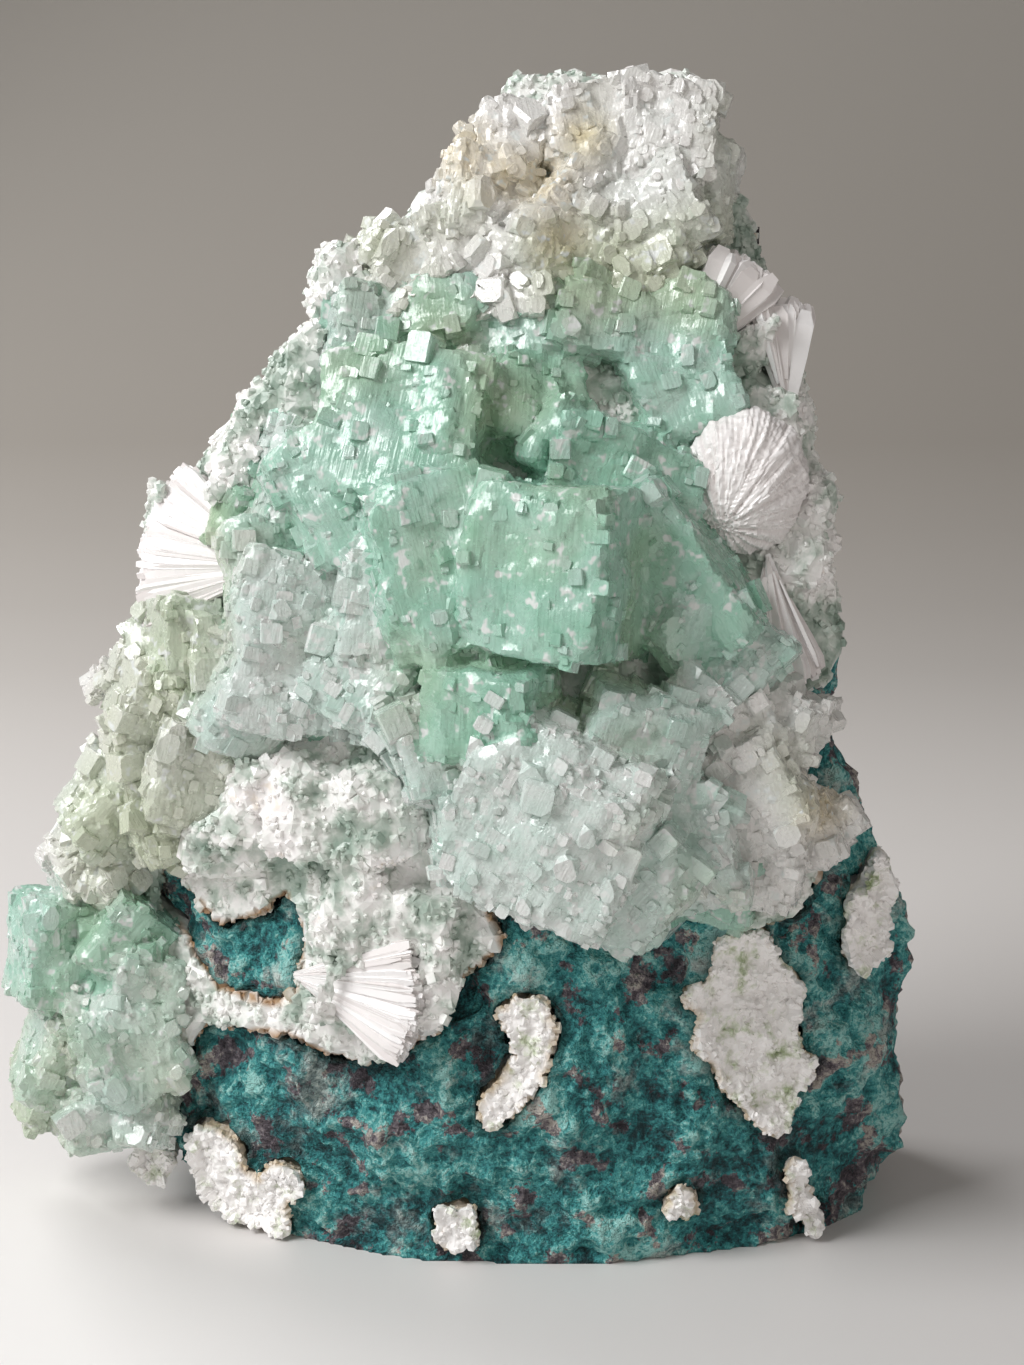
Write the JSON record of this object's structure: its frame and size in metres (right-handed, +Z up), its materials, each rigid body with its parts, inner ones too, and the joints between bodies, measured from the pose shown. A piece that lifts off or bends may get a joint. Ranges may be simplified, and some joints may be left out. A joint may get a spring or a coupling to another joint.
{
  "type": "apophyllite specimen",
  "caption": "Mineral specimen with green and white apophyllite crystals and white stilbite sprays on a crystal crust over dark basalt, standing on a flat broken base.",
  "frame": {"origin": "middle of the specimen's outline box, on the surface that it stands on", "axes": "+Z up, the crystal face looks along -Y, +X to the right as the crystal face is seen"},
  "size_m": [0.1204, 0.079, 0.1471],
  "materials": {
    "basalt": "rough dark basalt with a green-blue earthy skin",
    "white_crust": "sparkling druse of small white crystals",
    "green_apophyllite": "translucent pale green crystal with glassy and frosted faces",
    "pale_apophyllite": "translucent white to greenish crystal",
    "stilbite": "pearly white blades",
    "filling": "sugary white mineral with a cream rim"
  },
  "bodies": {
    "root": {"basalt": "basalt", "white_crust": "white_crust", "green_apophyllite": "green_apophyllite", "peak_apophyllite": "pale_apophyllite", "right_edge_apophyllite": "pale_apophyllite", "left_edge_apophyllite": "pale_apophyllite", "left_foot_apophyllite": "green_apophyllite", "stilbite_rosette": "stilbite", "stilbite_fan_left": "stilbite", "stilbite_sheaf_upper": "stilbite", "stilbite_sheaf_right": "stilbite", "stilbite_bow_right": "stilbite", "stilbite_spray_lower": "stilbite", "filling_right": "filling", "filling_middle": "filling", "filling_right_edge": "filling", "filling_lower_left": "filling", "filling_foot": "filling", "filling_streak": "filling", "filling_left_edge": "filling", "filling_speck": "filling"}
  },
  "joints": []
}
